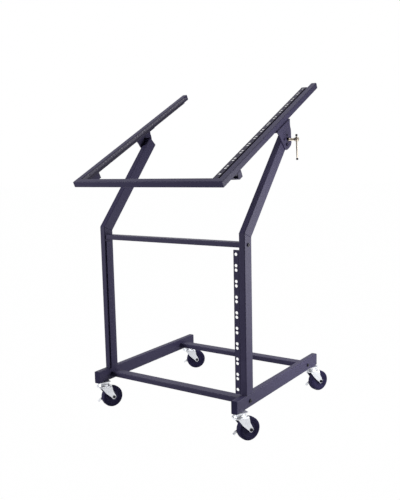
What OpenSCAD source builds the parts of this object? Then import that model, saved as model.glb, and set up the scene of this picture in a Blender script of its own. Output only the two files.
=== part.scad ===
// Rolling equipment rack stand with a vertical lower bay and a tilting mixer-style upper frame.
// Millimetres. X to the right, Y to the back, Z up, floor at zero.

/* [Base] */
// Clear width between the two side frames
inner_w = 490; // [480:1:520]
// Length of each floor runner over its end plugs
runner_len = 528; // [480:1:640]
// How far the runners stand out ahead of the uprights
runner_front = 53; // [48:1:90]
// Width of the runner and upright tubes
tube_w = 19; // [17:0.5:24]
// Depth of the runner and upright tubes
tube_d = 38; // [34:0.5:46]
// Wall thickness of the square and oblong tubes
tube_wall = 1.5; // [1.2:0.1:2]
// Outside corner radius of the tubes
corner_r = 2.5; // [1.8:0.1:3.5]
// Height of the oblong base crossbars
crossbar_h = 16; // [13:0.5:19]
// Depth of the oblong base crossbars
crossbar_d = 32; // [24:0.5:34]
// Base crossbar centre below the middle of the runners
crossbar_drop = 1; // [0:0.1:2]
// Rear crossbar centre, measured from the back end of the runners
rear_bar_inset = 73; // [50:1:120]

/* [Uprights] */
// Height of the bend above the runners, along the front edge
upright_h = 459; // [455:1:520]
// Backward lean of the upper part from the vertical
lean = 41.3; // [36:0.1:44]
// Length of the leaning part along its front edge, plug included
lean_len = 375; // [350:1:420]
// Height of the oblong mid crossbar
mid_bar_h = 14.5; // [12:0.5:17]
// Depth of the oblong mid crossbar
mid_bar_d = 30; // [24:0.5:34]
// Mid crossbar centre below the bend
mid_bar_drop = 33.5; // [30:0.5:37]

/* [Tilting frame] */
// Slope of the upper frame as it stands
tilt = 27; // [22:0.5:30]
// Side of the square rails and front bar
rail_size = 19; // [17:0.5:22]
// Length of the side rails over their end plugs
rail_len = 650; // [645:1:720]
// Pivot distance from the front end of the rails
pivot_along = 366.4; // [350:0.1:380]
// Pivot distance below the rails
pivot_drop = 60; // [56:0.5:68]
// Pivot distance from the tip of the upright
pivot_from_tip = 27.5; // [26:0.5:32]
// Pivot distance from the rear face of the upright
pivot_from_back = 6.8; // [5.5:0.1:9]
// Travel of the frame with its back going up
tilt_up = 20; // [10:1:21]
// Travel of the frame with its back going down
tilt_down = 22; // [10:1:24]

/* [Rack strips] */
// Face width of a strip, from the side frame into the bay
strip_flange = 20; // [18:0.1:20]
// Mounting hole centre from the inner edge of its strip
hole_inset = 7.55; // [6:0.05:8]
// Height of one rack unit
unit_h = 44.45; // [44:0.05:45]
// First and last hole centre from the edge of each unit
unit_edge = 6.35; // [6:0.05:7]
// Rack units in the vertical bay
lower_units = 9; // [6:1:9]
// Rack units in the sloping bay
upper_units = 13; // [8:1:13]
// Plain length beyond the units at each end of a strip
strip_end = 5.85; // [4:0.05:6]
// Diameter of the mounting holes
hole_d = 9.4; // [6:0.1:10]
// Sheet thickness of the strips
strip_t = 2; // [1.5:0.1:2.5]
// Leg of the strip along the side tubes
strip_leg = 19; // [16:0.5:19]
// Outside bend radius of the strip
strip_bend = 4; // [3.5:0.1:5]
// Lower strip face behind the front of the uprights
lower_strip_back = 4; // [2:0.5:6]
// Start of the hole pattern of the upper strip from the front end of the rails
upper_strip_start = 31; // [24:0.5:38]
// Upper strip face below the top of the rails
upper_strip_drop = 0.5; // [0.5:0.1:2]

/* [Gusset and stops] */
// Thickness of the pivot plates
gusset_t = 3; // [2.5:0.1:4]
// Reach of the pivot plate ahead of the pivot at the rail
gusset_front = 40.5; // [36:0.5:50]
// Reach of the pivot plate behind the pivot at the rail
gusset_rear = 52; // [48:0.5:60]
// Lower tip radius of the pivot plate
gusset_tip_r = 15; // [13:0.5:18]
// Diameter of the two round holes in the pivot plate
gusset_hole_d = 7; // [5:0.5:8]
// Rear edge of the stop bracket from the front of the rails
stop_rear = 97; // [90:0.5:110]
// Length of the stop bracket along the rail
stop_len = 47; // [42:0.5:55]
// Length of the flat foot of the stop bracket
stop_foot = 17; // [14:0.5:22]
// Depth of the stop bracket below the rail
stop_depth = 20; // [16:0.5:24]
// Sheet thickness of the stop bracket
stop_t = 2.5; // [2:0.1:3]

/* [Fasteners] */
// Diameter of the crossbar and pivot bolts
bolt_d = 6; // [5:0.1:7]
// Head diameter of the crossbar and pivot bolts
bolt_head_d = 10.5; // [9:0.1:12]
// Head height of the crossbar and pivot bolts
bolt_head_h = 3.2; // [2.5:0.1:4]
// Diameter of the socket in the bolt heads
bolt_socket_d = 4.6; // [4:0.1:5]
// Diameter of the round weld nut of the pivot
pivot_nut_d = 9; // [8.5:0.1:9.4]
// Thickness of the pivot and clamp nuts
nut_h = 5; // [4:0.1:6]
// Depth of the threaded insert in a crossbar end
insert_len = 14; // [12:0.5:20]
// Depth of a tube plug inside its tube
plug_len = 10; // [6:0.5:14]
// Depth of the upright tip plug
tip_plug_len = 2.5; // [2:0.1:2.6]
// Thickness of a tube plug outside its tube
plug_cap = 2; // [1.5:0.1:3]

/* [Clamp screws] */
// Diameter of the clamp screw
screw_d = 8; // [7:0.1:9]
// Clamp screw beyond the pivot, along the upright
screw_along = 16.5; // [16:0.1:17]
// Clamp screw ahead of the pivot, across the upright
screw_ahead = 4.4; // [3:0.1:6]
// Outside diameter of the screw collar
collar_d = 12; // [11:0.5:16]
// Thickness of the screw collar
collar_h = 2.5; // [2:0.1:4]
// Diameter of the cross-drilled screw head
screw_head_d = 12.6; // [11:0.1:14]
// Length of the cross-drilled screw head
screw_head_len = 12; // [10:0.1:14]
// Overall stand-off of the screw head from the upright
screw_out = 36.5; // [34:0.5:44]
// Diameter of the round weld nut of the clamp screw
clamp_nut_d = 12; // [11.5:0.1:12.4]
// Diameter of the sliding handle bar
bar_d = 4.6; // [4:0.1:5]
// Handle bar above the screw axis
bar_top = 12; // [9.5:0.1:16]
// Handle bar below the screw axis
bar_bottom = 58; // [45:0.5:65]
// Diameter of the balls on the handle bar
ball_d = 7; // [6.5:0.1:8]
// Forward lean of the handle bar
bar_lean = 4; // [0:0.5:12]

/* [Casters] */
// Diameter of the wheels
wheel_d = 68; // [60:0.5:70]
// Radius of the tyre shoulders
tyre_edge_r = 3; // [2:0.1:4]
// Width of the tyres
tyre_w = 23; // [20:0.1:23.5]
// Diameter of the plastic wheel hub
hub_d = 50; // [44:0.5:54]
// Diameter of the hub boss
boss_d = 16; // [14:0.1:18]
// Thickness of the hub rim
hub_wall = 4; // [3:0.5:5]
// Thickness of the hub web between the rim and the boss
hub_web = 18; // [8:1:18]
// Distance of the wheel axle behind the swivel axis
trail = 28; // [24:0.5:32]
// Diameter of the axle
axle_d = 8; // [7:0.1:9]
// Diameter of the riveted axle heads
axle_head_d = 9.6; // [9.4:0.1:12]
// Height of the riveted axle heads
axle_head_h = 2; // [1.5:0.1:2.5]
// Clear width between the fork legs
fork_gap = 28; // [27.6:0.1:32]
// Sheet thickness of the fork
fork_t = 2.5; // [2:0.1:3]
// Reach of the fork crown ahead of the swivel axis
fork_front = 12.5; // [11:0.5:14]
// Reach of the fork crown behind the swivel axis
fork_rear = 22; // [20:0.5:24]
// Radius of the fork legs round the axle
fork_tip_r = 7; // [6.5:0.1:8.5]
// Height of a caster from the floor to the runner
caster_h = 89; // [87:0.5:100]
// Side of the square top plate
plate_size = 36; // [32:0.5:42]
// Thickness of the top plate
plate_t = 2.5; // [2:0.1:3]
// Diameter of the swivel head
swivel_d = 44; // [40:0.5:48]
// Diameter of the kingpin
kingpin_d = 10; // [8:0.1:11]
// Front caster axis from the front end of the runners
caster_front_inset = 28.7; // [24:0.1:36]
// Rear caster axis from the back end of the runners
caster_rear_inset = 21.6; // [18:0.1:36]
// Sheet thickness of the brake lever
lever_t = 1.5; // [1:0.1:1.6]
// Gap between the tyre and the toe tab of the brake lever
lever_clear = 2.4; // [2:0.1:4]
// Reach of the toe tab of the brake lever
lever_toe = 8; // [6:0.5:10]
// Width of the toe tab of the brake lever
lever_tab_w = 10; // [8:0.5:14]
// Heading of the front left wheel
heading_fl = 22.4; // [-60:0.1:60]
// Heading of the front right wheel
heading_fr = 25.6; // [-60:0.1:60]
// Heading of the rear left wheel
heading_rl = 41.8; // [-60:0.1:60]
// Heading of the rear right wheel
heading_rr = 25.1; // [-60:0.1:60]

/* [Fits] */
// Gap between faces that move past each other
move_gap = 0.3; // [0.2:0.05:0.4]
// Radial gap of a shaft in its bearing hole
run_gap = 0.05; // [0.03:0.01:0.1]
// Radial gap of a bolt in a plain hole
bolt_gap = 0.2; // [0.1:0.05:0.3]
// Gap between a plug or insert and its tube
slip_gap = 0.1; // [0.05:0.05:0.2]
// Gap beside the clamp screw in its slot
slot_gap = 0.3; // [0.2:0.05:0.5]

/* [Hidden] */
origin_back = 202.4;
$fn = 64;
over = 1;
half_in = inner_w / 2;
half_out = half_in + tube_w;
runner_bottom = caster_h;
runner_top = caster_h + tube_d;
runner_back = runner_len - runner_front;
runner_z = runner_bottom + tube_d / 2;
crossbar_z = runner_z - crossbar_drop;
front_bar_y = tube_d / 2;
rear_bar_y = runner_back - rear_bar_inset;
bend_z = runner_top + upright_h;
mid_bar_z = bend_z - mid_bar_drop;
strip_x = half_in - strip_flange;
pivot_up = lean_len - pivot_from_tip;
pivot_in = tube_d - pivot_from_back;
pivot_y = pivot_up * sin(lean) + pivot_in * cos(lean);
pivot_z = bend_z + pivot_up * cos(lean) - pivot_in * sin(lean);
pivot_n = -rail_size - pivot_drop;
frame_y = pivot_y - pivot_along * cos(tilt) + pivot_n * sin(tilt);
frame_z = pivot_z - pivot_along * sin(tilt) - pivot_n * cos(tilt);
screw_up = pivot_up + screw_along;
screw_in = pivot_in - screw_ahead;
slot_r = sqrt(screw_along * screw_along + screw_ahead * screw_ahead);
slot_mid = atan2(1, tan(lean)) + atan2(screw_ahead, screw_along) - tilt;
slot_spare = 1;
gusset_x = half_out + move_gap;
gusset_out = gusset_x + gusset_t;
nut_x = half_out - tube_wall;
nut_end_x = nut_x - nut_h;
collar_x = gusset_out + move_gap;
screw_end_x = half_out + screw_out;
screw_head_x = screw_end_x - screw_head_len;
screw_bar_x = screw_end_x - screw_head_len / 2;
wheel_r = wheel_d / 2;
caster_x = half_in + tube_w / 2;
front_caster_y = caster_front_inset - runner_front;
rear_caster_y = runner_back - caster_rear_inset;
swivel_top = caster_h - plate_t - move_gap;
crown_z = wheel_d + 3;
crown_h = 4;
crown_t = 3;
hub_inset = 0.5;
leg_x = fork_gap / 2;
lever_x = leg_x - move_gap - lever_t;
boss_left = lever_x - move_gap;
boss_right = leg_x - move_gap;

frame_black = [0.13, 0.13, 0.15];
plug_black = [0.05, 0.05, 0.06];
zinc = [0.82, 0.82, 0.84];
nickel = [0.72, 0.70, 0.66];
rubber = [0.16, 0.15, 0.18];

// Corner cutting that keeps both ends of an open chain of points
function soften(p, rounds) = rounds == 0 ? p : soften(
    concat([p[0]],
        [for (i = [0:len(p) - 2]) each [p[i] * 0.75 + p[i + 1] * 0.25, p[i] * 0.25 + p[i + 1] * 0.75]],
        [p[len(p) - 1]]), rounds - 1);

// Moves the design datum to the middle of the footprint
module placed() {
    translate([0, -origin_back, 0]) children();
}

module on_left() {
    mirror([1, 0, 0]) children();
}

module on_both() {
    children();
    mirror([1, 0, 0]) children();
}

// Local Z runs up the leaning part, local Y from its front face to its rear face
module on_lean() {
    translate([0, 0, bend_z]) rotate([-lean, 0, 0]) children();
}

// Local Y runs back along the rails, local Z away from their top face
module on_frame() {
    translate([0, frame_y, frame_z]) rotate([tilt, 0, 0]) children();
}

// Local X is the axle direction, local Y points from the swivel axis to the wheel
module at_caster(side, y, heading) {
    translate([side * caster_x, y, 0]) rotate([0, 0, -heading]) children();
}

module at_front_left() {
    at_caster(-1, front_caster_y, heading_fl) children();
}

module at_front_right() {
    at_caster(1, front_caster_y, heading_fr) children();
}

module at_rear_left() {
    at_caster(-1, rear_caster_y, heading_rl) children();
}

module at_rear_right() {
    at_caster(1, rear_caster_y, heading_rr) children();
}

module rounded(w, d, r) {
    translate([-w / 2 + r, -d / 2]) square([w - 2 * r, d]);
    translate([-w / 2, -d / 2 + r]) square([w, d - 2 * r]);
    for (sx = [-1, 1], sy = [-1, 1]) {
        translate([sx * (w / 2 - r), sy * (d / 2 - r)]) circle(r);
    }
}

module hollow(w, d) {
    difference() {
        rounded(w, d, corner_r);
        rounded(w - 2 * tube_wall, d - 2 * tube_wall, corner_r - tube_wall);
    }
}

// Tube along Z, centred on the axis
module tube(w, d, len) {
    linear_extrude(len) hollow(w, d);
}

// Cap on the end face at zero, with a hollow stub reaching down into the tube
module plug(w, d, depth) {
    stub_w = w - 2 * tube_wall - 2 * slip_gap;
    stub_d = d - 2 * tube_wall - 2 * slip_gap;
    linear_extrude(plug_cap) rounded(w, d, corner_r);
    translate([0, 0, -depth]) linear_extrude(depth) difference() {
        rounded(stub_w, stub_d, corner_r - tube_wall);
        square([stub_w - 2 * tube_wall, stub_d - 2 * tube_wall], center = true);
    }
}

// Rod along X from one side position to another
module rod_x(r, x0, x1) {
    translate([x0, 0, 0]) rotate([0, 90, 0]) cylinder(r = r, h = x1 - x0);
}

module bolt_hole() {
    rod_x(bolt_d / 2 + bolt_gap, half_in - over, half_out + over);
}

// Hole through the outer wall of the upright alone
module wall_hole(r) {
    rod_x(r, nut_x - over, half_out + over);
}

// Round headed bolt with a hexagon socket, its head seated on the outer face
module side_bolt(head_x, tip_x) {
    rod_x(bolt_d / 2, tip_x, head_x);
    difference() {
        rod_x(bolt_head_d / 2, head_x, head_x + bolt_head_h);
        translate([head_x + bolt_head_h / 2, 0, 0]) rotate([0, 90, 0])
            cylinder(d = bolt_socket_d, h = bolt_head_h, $fn = 6);
    }
}

module runner() {
    color(frame_black) placed() difference() {
        translate([caster_x, runner_back - plug_cap, runner_z]) rotate([90, 0, 0])
            tube(tube_w, tube_d, runner_len - 2 * plug_cap);
        for (y = [front_bar_y, rear_bar_y]) {
            translate([0, y, crossbar_z]) bolt_hole();
        }
    }
}

module left_runner() {
    on_left() runner();
}

module right_runner() {
    runner();
}

module runner_end_plugs() {
    color(plug_black) placed() on_both() {
        translate([caster_x, plug_cap - runner_front, runner_z]) rotate([90, 0, 0])
            plug(tube_w, tube_d, plug_len);
        translate([caster_x, runner_back - plug_cap, runner_z]) rotate([-90, 0, 0])
            plug(tube_w, tube_d, plug_len);
    }
}

// Hollow oblong bar laid flat between the side frames
module crossbar(h, d, y, z) {
    translate([-half_in, y, z]) rotate([0, 90, 0]) tube(h, d, inner_w);
}

module front_base_crossbar() {
    color(frame_black) placed() crossbar(crossbar_h, crossbar_d, front_bar_y, crossbar_z);
}

module rear_base_crossbar() {
    color(frame_black) placed() crossbar(crossbar_h, crossbar_d, rear_bar_y, crossbar_z);
}

module mid_crossbar() {
    color(frame_black) placed() crossbar(mid_bar_h, mid_bar_d, front_bar_y, mid_bar_z);
}

// Threaded block that fills the end of a crossbar
module insert(h, d, y, z) {
    less = 2 * tube_wall + 2 * slip_gap;
    translate([0, y, z]) difference() {
        translate([half_in - insert_len, 0, 0]) rotate([0, 90, 0]) linear_extrude(insert_len)
            rounded(h - less, d - less, corner_r - tube_wall);
        rod_x(bolt_d / 2 + run_gap, half_in - insert_len - over, half_in + over);
    }
}

module crossbar_inserts() {
    color(zinc) placed() on_both() {
        insert(crossbar_h, crossbar_d, front_bar_y, crossbar_z);
        insert(crossbar_h, crossbar_d, rear_bar_y, crossbar_z);
        insert(mid_bar_h, mid_bar_d, front_bar_y, mid_bar_z);
    }
}

module crossbar_bolts() {
    color(plug_black) placed() on_both() {
        translate([0, front_bar_y, crossbar_z]) side_bolt(half_out, half_in - insert_len);
        translate([0, rear_bar_y, crossbar_z]) side_bolt(half_out, half_in - insert_len);
        translate([0, front_bar_y, mid_bar_z]) side_bolt(half_out, half_in - insert_len);
    }
}

// Block beside the joint plane of the bend, its underside at the given height
module joint_block(z) {
    translate([-tube_w, -tube_d, z]) cube([2 * tube_w, 3 * tube_d, 3 * tube_d]);
}

// Two straight tubes mitred at the bend, built with the plane of the joint level
module upright() {
    reach = tube_d * tan(lean / 2) + over;
    color(frame_black) placed() difference() {
        translate([caster_x, 0, bend_z]) rotate([-lean / 2, 0, 0]) {
            difference() {
                rotate([lean / 2, 0, 0]) translate([0, tube_d / 2, -upright_h])
                    tube(tube_w, tube_d, upright_h + reach);
                joint_block(0);
            }
            difference() {
                rotate([-lean / 2, 0, 0]) translate([0, tube_d / 2, -reach])
                    tube(tube_w, tube_d, lean_len - plug_cap + reach);
                joint_block(-3 * tube_d);
            }
        }
        translate([0, front_bar_y, mid_bar_z]) bolt_hole();
        on_lean() translate([0, pivot_in, pivot_up]) wall_hole(bolt_d / 2 + bolt_gap);
        on_lean() translate([0, screw_in, screw_up]) wall_hole(screw_d / 2 + slot_gap);
    }
}

module left_upright() {
    on_left() upright();
}

module right_upright() {
    upright();
}

module upright_tip_plugs() {
    color(plug_black) placed() on_both() on_lean()
        translate([caster_x, tube_d / 2, lean_len - plug_cap]) plug(tube_w, tube_d, tip_plug_len);
}

// Section of a folded strip: face, bend and the leg along the side frame
module angle_section() {
    bend_x = half_in - strip_bend;
    translate([strip_x, 0]) square([bend_x - strip_x, strip_t]);
    translate([half_in - strip_t, strip_bend]) square([strip_t, strip_leg - strip_bend]);
    translate([bend_x, strip_bend]) intersection() {
        difference() {
            circle(strip_bend);
            circle(strip_bend - strip_t);
        }
        translate([0, -strip_bend]) square(strip_bend);
    }
}

// Punched angle strip along Z, its face looking along local minus Y, with a plain lead below zero
module strip(units, lead) {
    difference() {
        translate([0, 0, -lead]) linear_extrude(lead + units * unit_h + 2 * strip_end) angle_section();
        for (i = [0:units - 1], z = [unit_edge, unit_h - unit_edge]) {
            translate([strip_x + hole_inset, -over, strip_end + i * unit_h + z]) rotate([-90, 0, 0])
                cylinder(d = hole_d, h = strip_t + 2 * over);
        }
    }
}

module lower_strip() {
    color(frame_black) placed() translate([0, lower_strip_back, runner_top]) strip(lower_units, 0);
}

module left_lower_strip() {
    on_left() lower_strip();
}

module right_lower_strip() {
    lower_strip();
}

module upper_strip() {
    color(frame_black) placed() on_frame()
        translate([0, upper_strip_start, -upper_strip_drop]) rotate([-90, 0, 0])
            strip(upper_units, upper_strip_start - rail_size);
}

module left_upper_strip() {
    on_left() upper_strip();
}

module right_upper_strip() {
    upper_strip();
}

// Half space behind the 45 degree joint between the rail and the front bar
module behind_mitre() {
    reach = 2 * rail_len;
    translate([half_in + rail_size, 0, 0]) rotate([0, 0, 135])
        translate([-reach, -reach, -reach / 2]) cube([2 * reach, reach, reach]);
}

module upper_rail() {
    color(frame_black) placed() on_frame() intersection() {
        translate([half_in + rail_size / 2, rail_len - plug_cap, -rail_size / 2]) rotate([90, 0, 0])
            tube(rail_size, rail_size, rail_len - plug_cap);
        behind_mitre();
    }
}

module left_upper_rail() {
    on_left() upper_rail();
}

module right_upper_rail() {
    upper_rail();
}

module upper_front_bar() {
    span = inner_w + 2 * rail_size;
    color(frame_black) placed() on_frame() difference() {
        translate([-span / 2, rail_size / 2, -rail_size / 2]) rotate([0, 90, 0])
            tube(rail_size, rail_size, span);
        behind_mitre();
        mirror([1, 0, 0]) behind_mitre();
    }
}

module rail_end_plugs() {
    color(plug_black) placed() on_both() on_frame()
        translate([half_in + rail_size / 2, rail_len - plug_cap, -rail_size / 2])
            rotate([-90, 0, 0]) plug(rail_size, rail_size, plug_len);
}

// Pivot plate outline, across from the pivot and up from it
module gusset_outline() {
    edge = soften([[-gusset_front, pivot_drop], [-0.78 * gusset_front, 0.73 * pivot_drop],
        [-0.65 * gusset_front, 0.43 * pivot_drop], [-1.2 * gusset_tip_r, -0.03 * pivot_drop],
        [-0.73 * gusset_tip_r, -gusset_tip_r], [1.87 * gusset_tip_r, -0.93 * gusset_tip_r],
        [0.65 * gusset_rear, 0.12 * pivot_drop], [0.84 * gusset_rear, 0.45 * pivot_drop],
        [0.83 * gusset_rear, 0.7 * pivot_drop], [gusset_rear, pivot_drop]], 2);
    polygon(edge);
}

// Curved slot that lets the clamp screw travel as the frame tilts
module arc_slot() {
    low = slot_mid - tilt_up - slot_spare;
    high = slot_mid + tilt_down + slot_spare;
    half = screw_d / 2 + slot_gap;
    rotate([0, 0, low]) rotate_extrude(angle = high - low)
        translate([slot_r - half, -over]) square([2 * half, gusset_t + 2 * over]);
    for (a = [low, high]) {
        rotate([0, 0, a]) translate([slot_r, 0, -over]) cylinder(r = half, h = gusset_t + 2 * over);
    }
}

module plate_hole(y, z) {
    translate([y, z, -over]) cylinder(d = gusset_hole_d, h = gusset_t + 2 * over);
}

module gusset() {
    color(frame_black) placed() on_frame() difference() {
        union() {
            translate([gusset_x, pivot_along, pivot_n]) rotate([90, 0, 90])
                linear_extrude(gusset_t) gusset_outline();
            translate([half_in, pivot_along - gusset_front, -rail_size - gusset_t])
                cube([gusset_out - half_in, gusset_front + gusset_rear, gusset_t]);
        }
        translate([gusset_x, pivot_along, pivot_n]) rotate([90, 0, 90]) {
            arc_slot();
            translate([0, 0, -over]) cylinder(r = bolt_d / 2 + run_gap, h = gusset_t + 2 * over);
            plate_hole(0.24 * gusset_rear, 0.45 * pivot_drop);
            plate_hole(-0.23 * gusset_front, 0.375 * pivot_drop);
        }
    }
}

module left_gusset() {
    on_left() gusset();
}

module right_gusset() {
    gusset();
}

// Bracket under the rail that meets the upright when the frame is fully raised
module stop_bracket() {
    mid = [stop_rear - 0.85 * stop_len, -0.4 * stop_depth];
    foot = [stop_rear - stop_foot, -stop_depth];
    lip = 1.2 * stop_t;
    tab = stop_rear - 1.2 * stop_foot;
    color(frame_black) placed() on_frame() translate([0, 0, -rail_size]) rotate([90, 0, 90]) {
        translate([0, 0, half_in]) linear_extrude(stop_t)
            polygon([[stop_rear - stop_len, 0], mid, foot, [stop_rear, -stop_depth], [stop_rear, 0]]);
        translate([0, 0, half_in]) linear_extrude(tube_w)
            polygon([[stop_rear - stop_len, 0], mid, foot, [stop_rear, -stop_depth],
                [stop_rear, -stop_depth + stop_t], foot + [stop_t / 2, stop_t], mid + [stop_t / 2, lip],
                [stop_rear - stop_len + lip, 0]]);
        translate([0, 0, half_in + tube_w - stop_t]) linear_extrude(stop_t)
            polygon([[tab, 0], [tab, -0.8 * stop_depth], foot, [stop_rear, -stop_depth], [stop_rear, 0]]);
    }
}

module left_stop_bracket() {
    on_left() stop_bracket();
}

module right_stop_bracket() {
    stop_bracket();
}

module pivot_bolts() {
    color(plug_black) placed() on_both() on_lean() translate([0, pivot_in, pivot_up])
        side_bolt(gusset_out + move_gap, nut_end_x - over);
}

// Round nut welded inside the outer wall of the upright
module side_nut(across, bore_r) {
    difference() {
        rod_x(across / 2, nut_end_x, nut_x);
        rod_x(bore_r, nut_end_x - over, nut_x + over);
    }
}

module pivot_nuts() {
    color(zinc) placed() on_both() on_lean() translate([0, pivot_in, pivot_up])
        side_nut(pivot_nut_d, bolt_d / 2 + run_gap);
}

module clamp_nuts() {
    color(zinc) placed() on_both() on_lean() translate([0, screw_in, screw_up])
        side_nut(clamp_nut_d, screw_d / 2 + run_gap);
}

// Puts the clamp screw axis on local X, with the handle bar near vertical
module at_screw() {
    on_lean() translate([0, screw_in, screw_up]) rotate([lean + bar_lean, 0, 0]) children();
}

module clamp_screw() {
    color(nickel) placed() at_screw() difference() {
        union() {
            rod_x(screw_d / 2, nut_end_x - over, screw_head_x);
            rod_x(collar_d / 2, collar_x, collar_x + collar_h);
            rod_x(screw_head_d / 2, screw_head_x, screw_end_x);
        }
        translate([screw_bar_x, 0, -screw_head_d]) cylinder(r = bar_d / 2 + run_gap, h = 2 * screw_head_d);
    }
}

module left_clamp_screw() {
    on_left() clamp_screw();
}

module right_clamp_screw() {
    clamp_screw();
}

module handle_bar() {
    color(nickel) placed() at_screw() translate([screw_bar_x, 0, 0]) {
        translate([0, 0, -bar_bottom]) cylinder(d = bar_d, h = bar_bottom + bar_top);
        translate([0, 0, bar_top]) sphere(d = ball_d);
        translate([0, 0, -bar_bottom]) sphere(d = ball_d);
    }
}

module left_handle_bar() {
    on_left() handle_bar();
}

module right_handle_bar() {
    handle_bar();
}

// Square plate under the runner with its riveted kingpin
module top_plate() {
    corner = 4;
    rivet_h = 2.5;
    rivet_r = 0.8 * kingpin_d;
    pin_z = crown_z - move_gap;
    translate([0, 0, caster_h - plate_t]) linear_extrude(plate_t)
        rounded(plate_size, plate_size, corner);
    translate([0, 0, pin_z]) cylinder(d = kingpin_d, h = caster_h - plate_t - pin_z);
    translate([0, 0, pin_z - rivet_h]) cylinder(r = rivet_r, h = rivet_h);
}

module fork_leg() {
    top = crown_z + crown_t;
    polygon([[-fork_front, top], [-fork_front, 0.97 * crown_z], [0.06 * trail, 1.47 * wheel_r],
        [trail - fork_tip_r, 0.95 * wheel_r], [trail, wheel_r - fork_tip_r],
        [trail + 0.94 * fork_tip_r, wheel_r + 0.4 * fork_tip_r],
        [1.15 * fork_rear, 1.62 * wheel_r], [fork_rear, top]]);
    translate([trail, wheel_r]) circle(fork_tip_r);
}

// Pressed swivel fork with its ball race head
module fork() {
    head_r = swivel_d / 2;
    slope_z = crown_z + 1.9 * crown_h;
    bore = kingpin_d / 2 + run_gap;
    difference() {
        union() {
            for (x = [-leg_x - fork_t, leg_x]) {
                translate([x, 0, 0]) rotate([90, 0, 90]) linear_extrude(fork_t) fork_leg();
            }
            translate([-leg_x - fork_t, -fork_front, crown_z])
                cube([fork_gap + 2 * fork_t, fork_front + fork_rear, crown_t]);
            rotate_extrude() polygon([[0, crown_z], [head_r, crown_z], [head_r, crown_z + crown_h],
                [0.77 * head_r, slope_z], [0.68 * head_r, swivel_top], [0, swivel_top]]);
        }
        translate([0, 0, crown_z - over]) cylinder(r = bore, h = caster_h - crown_z);
        translate([-leg_x - fork_t - over, trail, wheel_r]) rotate([0, 90, 0])
            cylinder(r = axle_d / 2 + run_gap, h = fork_gap + 2 * fork_t + 2 * over);
    }
}

module at_axle() {
    translate([0, trail, wheel_r]) rotate([0, 90, 0]) children();
}

// Rubber tread ring with rounded shoulders
module tyre() {
    half = tyre_w / 2;
    shoulder = wheel_r - tyre_edge_r;
    at_axle() rotate_extrude($fn = 96) {
        translate([hub_d / 2, -half]) square([shoulder - hub_d / 2, tyre_w]);
        translate([hub_d / 2, -half + tyre_edge_r]) square([wheel_r - hub_d / 2, tyre_w - 2 * tyre_edge_r]);
        for (s = [-1, 1]) {
            translate([shoulder, s * (half - tyre_edge_r)]) circle(tyre_edge_r);
        }
    }
}

// Plastic wheel centre with a rim, a web and a boss that meets the fork
module hub() {
    rim = hub_d / 2;
    half = tyre_w / 2 - hub_inset;
    at_axle() difference() {
        rotate_extrude($fn = 96) {
            translate([rim - hub_wall, -half]) square([hub_wall, 2 * half]);
            translate([0, -hub_web / 2]) square([rim - hub_wall / 2, hub_web]);
            translate([0, -boss_left]) square([boss_d / 2, boss_left + boss_right]);
        }
        translate([0, 0, -boss_left - over]) cylinder(r = axle_d / 2 + run_gap, h = fork_gap);
    }
}

// Riveted axle with a round, dished head on each side of the fork
module axle() {
    out = leg_x + fork_t;
    dish_r = 0.4 * axle_d;
    dish_h = 0.6 * axle_head_h;
    at_axle() difference() {
        union() {
            translate([0, 0, -out]) cylinder(d = axle_d, h = 2 * out);
            for (z = [-out - axle_head_h, out]) {
                translate([0, 0, z]) cylinder(d = axle_head_d, h = axle_head_h);
            }
        }
        for (z = [-out - axle_head_h - over, out + axle_head_h - dish_h]) {
            translate([0, 0, z]) cylinder(r = dish_r, h = dish_h + over);
        }
    }
}

// Foot brake strap on the axle with a toe tab ahead of the wheel
module brake_lever() {
    strap_x = -leg_x + move_gap;
    heel = trail - wheel_r - lever_clear;
    toe = heel - lever_toe;
    difference() {
        union() {
            translate([strap_x, 0, 0]) rotate([90, 0, 90]) linear_extrude(lever_t) {
                translate([trail, wheel_r]) circle(d = boss_d);
                polygon([[trail, wheel_r + 0.4 * boss_d], [heel, 0.86 * wheel_r], [toe, 0.66 * wheel_r],
                    [toe, 0.61 * wheel_r], [trail, wheel_r - 0.5 * boss_d]]);
            }
            translate([strap_x, 0, 0]) rotate([90, 0, 90]) linear_extrude(lever_tab_w)
                polygon([[heel, 0.86 * wheel_r], [toe, 0.66 * wheel_r],
                    [toe, 0.61 * wheel_r], [heel, 0.81 * wheel_r]]);
        }
        translate([-leg_x, trail, wheel_r]) rotate([0, 90, 0])
            cylinder(r = axle_d / 2 + run_gap, h = 2 * lever_t);
    }
}

module fl_top_plate() {
    color(zinc) placed() at_front_left() top_plate();
}

module fl_fork() {
    color(zinc) placed() at_front_left() fork();
}

module fl_tyre() {
    color(rubber) placed() at_front_left() tyre();
}

module fl_hub() {
    color(plug_black) placed() at_front_left() hub();
}

module fl_axle() {
    color(zinc) placed() at_front_left() axle();
}

module fl_brake_lever() {
    color(zinc) placed() at_front_left() brake_lever();
}

module fr_top_plate() {
    color(zinc) placed() at_front_right() top_plate();
}

module fr_fork() {
    color(zinc) placed() at_front_right() fork();
}

module fr_tyre() {
    color(rubber) placed() at_front_right() tyre();
}

module fr_hub() {
    color(plug_black) placed() at_front_right() hub();
}

module fr_axle() {
    color(zinc) placed() at_front_right() axle();
}

module fr_brake_lever() {
    color(zinc) placed() at_front_right() brake_lever();
}

module rl_top_plate() {
    color(zinc) placed() at_rear_left() top_plate();
}

module rl_fork() {
    color(zinc) placed() at_rear_left() fork();
}

module rl_tyre() {
    color(rubber) placed() at_rear_left() tyre();
}

module rl_hub() {
    color(plug_black) placed() at_rear_left() hub();
}

module rl_axle() {
    color(zinc) placed() at_rear_left() axle();
}

module rl_brake_lever() {
    color(zinc) placed() at_rear_left() brake_lever();
}

module rr_top_plate() {
    color(zinc) placed() at_rear_right() top_plate();
}

module rr_fork() {
    color(zinc) placed() at_rear_right() fork();
}

module rr_tyre() {
    color(rubber) placed() at_rear_right() tyre();
}

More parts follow.
